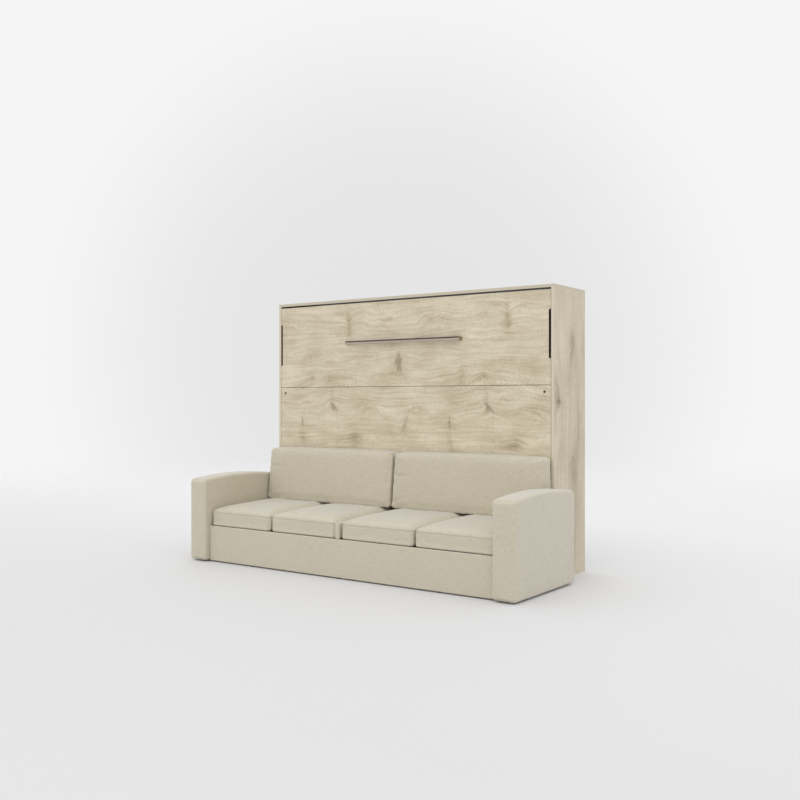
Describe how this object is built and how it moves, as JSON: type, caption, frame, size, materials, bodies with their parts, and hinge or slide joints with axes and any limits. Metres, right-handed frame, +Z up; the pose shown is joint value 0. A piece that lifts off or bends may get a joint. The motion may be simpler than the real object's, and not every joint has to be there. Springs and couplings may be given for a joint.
{
  "type": "wall bed with sofa",
  "caption": "Horizontal fold-down wall bed in an oak-decor cabinet, with an upholstered sofa in front, telescopic legs, gas struts and a bar handle.",
  "frame": {"origin": "on the floor, below the middle of the whole piece's box at rest", "axes": "+X runs along the wall to the right seen from the front, +Y points to the wall, +Z is up"},
  "size_m": [2.375, 1.115, 1.695],
  "materials": {
    "oak_decor": "satin",
    "frame_board": "satin",
    "sofa_board": "matte",
    "beech": "satin",
    "sofa_fabric": "matte",
    "mattress_cover": "matte",
    "strap_webbing": "matte",
    "plated_steel": "satin",
    "dark_steel": "satin",
    "black_plastic": "matte",
    "stop_rubber": "matte"
  },
  "bodies": {
    "frame": {"side_panel_left": "oak_decor", "side_panel_right": "oak_decor", "top_panel": "oak_decor", "lower_front_panel": "oak_decor", "wall_rail": "frame_board", "rear_floor_rail": "frame_board", "front_cleats": "frame_board", "arm_core_left": "sofa_board", "arm_core_right": "sofa_board", "apron_board": "sofa_board", "base_back_board": "sofa_board", "base_end_boards": "sofa_board", "base_divider": "sofa_board", "seat_decks": "sofa_board", "arm_cover_left": "sofa_fabric", "arm_cover_right": "sofa_fabric", "apron_cover": "sofa_fabric", "divider_post": "sofa_fabric", "seat_cushion_1": "sofa_fabric", "seat_cushion_2": "sofa_fabric", "seat_cushion_3": "sofa_fabric", "seat_cushion_4": "sofa_fabric", "wall_plates": "plated_steel", "corner_angles": "plated_steel", "pivot_plates": "plated_steel", "strut_brackets": "plated_steel", "joining_bolts": "plated_steel", "pivot_bushes": "black_plastic", "sofa_glides": "black_plastic", "closing_stops": "stop_rubber"},
    "bed": {"front_panel_lower": "oak_decor", "front_panel_upper": "oak_decor", "bed_end_board_left": "frame_board", "bed_end_board_right": "frame_board", "bed_board_lower": "frame_board", "bed_board_upper": "frame_board", "top_batten": "frame_board", "seam_batten": "frame_board", "slat_beam": "frame_board", "slats": "beech", "slat_holders": "black_plastic", "mattress": "mattress_cover", "mattress_straps": "strap_webbing", "crank_plates": "plated_steel", "handle_bar": "dark_steel", "handle_posts": "dark_steel", "screw_covers": "black_plastic", "leg_pins": "plated_steel"},
    "back_cushion_left": {"back_cushion_left": "sofa_fabric"},
    "back_cushion_right": {"back_cushion_right": "sofa_fabric"},
    "leg_outer_left": {"leg_outer_left": "dark_steel"},
    "leg_middle_left": {"leg_middle_left": "dark_steel"},
    "leg_inner_left": {"leg_inner_left": "dark_steel"},
    "strut_cylinder_left": {"strut_cylinder_left": "dark_steel"},
    "strut_rod_left": {"strut_rod_left": "plated_steel"},
    "leg_outer_right": {"leg_outer_right": "dark_steel"},
    "leg_middle_right": {"leg_middle_right": "dark_steel"},
    "leg_inner_right": {"leg_inner_right": "dark_steel"},
    "strut_cylinder_right": {"strut_cylinder_right": "dark_steel"},
    "strut_rod_right": {"strut_rod_right": "plated_steel"}
  },
  "joints": [
    {"name": "bed_fold", "type": "hinge", "parent": "frame", "child": "bed", "pos_m": [0, 0.1745, 0.614], "axis": [1, 0, 0], "range_deg": [0, 90]},
    {"name": "leg_swing_left", "type": "hinge", "parent": "bed", "child": "leg_outer_left", "pos_m": [-1.0285, 0.1695, 1.536], "axis": [1, 0, 0], "range_deg": [-90, 0]},
    {"name": "leg_middle_slide_left", "type": "slide", "parent": "leg_outer_left", "child": "leg_middle_left", "axis": [0, 0, -1], "range_m": [0, 0.19175]},
    {"name": "leg_inner_slide_left", "type": "slide", "parent": "leg_middle_left", "child": "leg_inner_left", "axis": [0, 0, -1], "range_m": [0, 0.19175]},
    {"name": "strut_swing_left", "type": "hinge", "parent": "frame", "child": "strut_cylinder_left", "pos_m": [-1.011, 0.5145, 0.63], "axis": [1, 0, 0], "range_deg": [-15.02, 0]},
    {"name": "strut_stroke_left", "type": "slide", "parent": "strut_cylinder_left", "child": "strut_rod_left", "axis": [0, -0.9464, -0.3229], "range_m": [-0.11871, 0]},
    {"name": "cushion_tip_left", "type": "hinge", "parent": "frame", "child": "back_cushion_left", "pos_m": [0, 0.0025, 0.3602], "axis": [1, 0, 0], "range_deg": [0, 90]},
    {"name": "leg_swing_right", "type": "hinge", "parent": "bed", "child": "leg_outer_right", "pos_m": [1.0285, 0.1695, 1.536], "axis": [1, 0, 0], "range_deg": [-90, 0]},
    {"name": "leg_middle_slide_right", "type": "slide", "parent": "leg_outer_right", "child": "leg_middle_right", "axis": [0, 0, -1], "range_m": [0, 0.19175]},
    {"name": "leg_inner_slide_right", "type": "slide", "parent": "leg_middle_right", "child": "leg_inner_right", "axis": [0, 0, -1], "range_m": [0, 0.19175]},
    {"name": "strut_swing_right", "type": "hinge", "parent": "frame", "child": "strut_cylinder_right", "pos_m": [1.011, 0.5145, 0.63], "axis": [1, 0, 0], "range_deg": [-15.02, 0]},
    {"name": "strut_stroke_right", "type": "slide", "parent": "strut_cylinder_right", "child": "strut_rod_right", "axis": [0, -0.9464, -0.3229], "range_m": [-0.11871, 0]},
    {"name": "cushion_tip_right", "type": "hinge", "parent": "frame", "child": "back_cushion_right", "pos_m": [0, 0.0025, 0.3602], "axis": [1, 0, 0], "range_deg": [0, 90]}
  ],
  "couplings": [
    {"joint": "leg_swing_left", "follows": "bed_fold", "ratio": -1},
    {"joint": "leg_middle_slide_left", "follows": "bed_fold", "m_per_rad": 0.12207},
    {"joint": "leg_inner_slide_left", "follows": "bed_fold", "m_per_rad": 0.12207},
    {"joint": "strut_swing_left", "follows": "bed_fold", "ratio": -0.16694},
    {"joint": "strut_stroke_left", "follows": "bed_fold", "m_per_rad": -0.075573},
    {"joint": "cushion_tip_left", "follows": "bed_fold", "ratio": 1},
    {"joint": "leg_swing_right", "follows": "bed_fold", "ratio": -1},
    {"joint": "leg_middle_slide_right", "follows": "bed_fold", "m_per_rad": 0.12207},
    {"joint": "leg_inner_slide_right", "follows": "bed_fold", "m_per_rad": 0.12207},
    {"joint": "strut_swing_right", "follows": "bed_fold", "ratio": -0.16694},
    {"joint": "strut_stroke_right", "follows": "bed_fold", "m_per_rad": -0.075573},
    {"joint": "cushion_tip_right", "follows": "bed_fold", "ratio": 1}
  ]
}
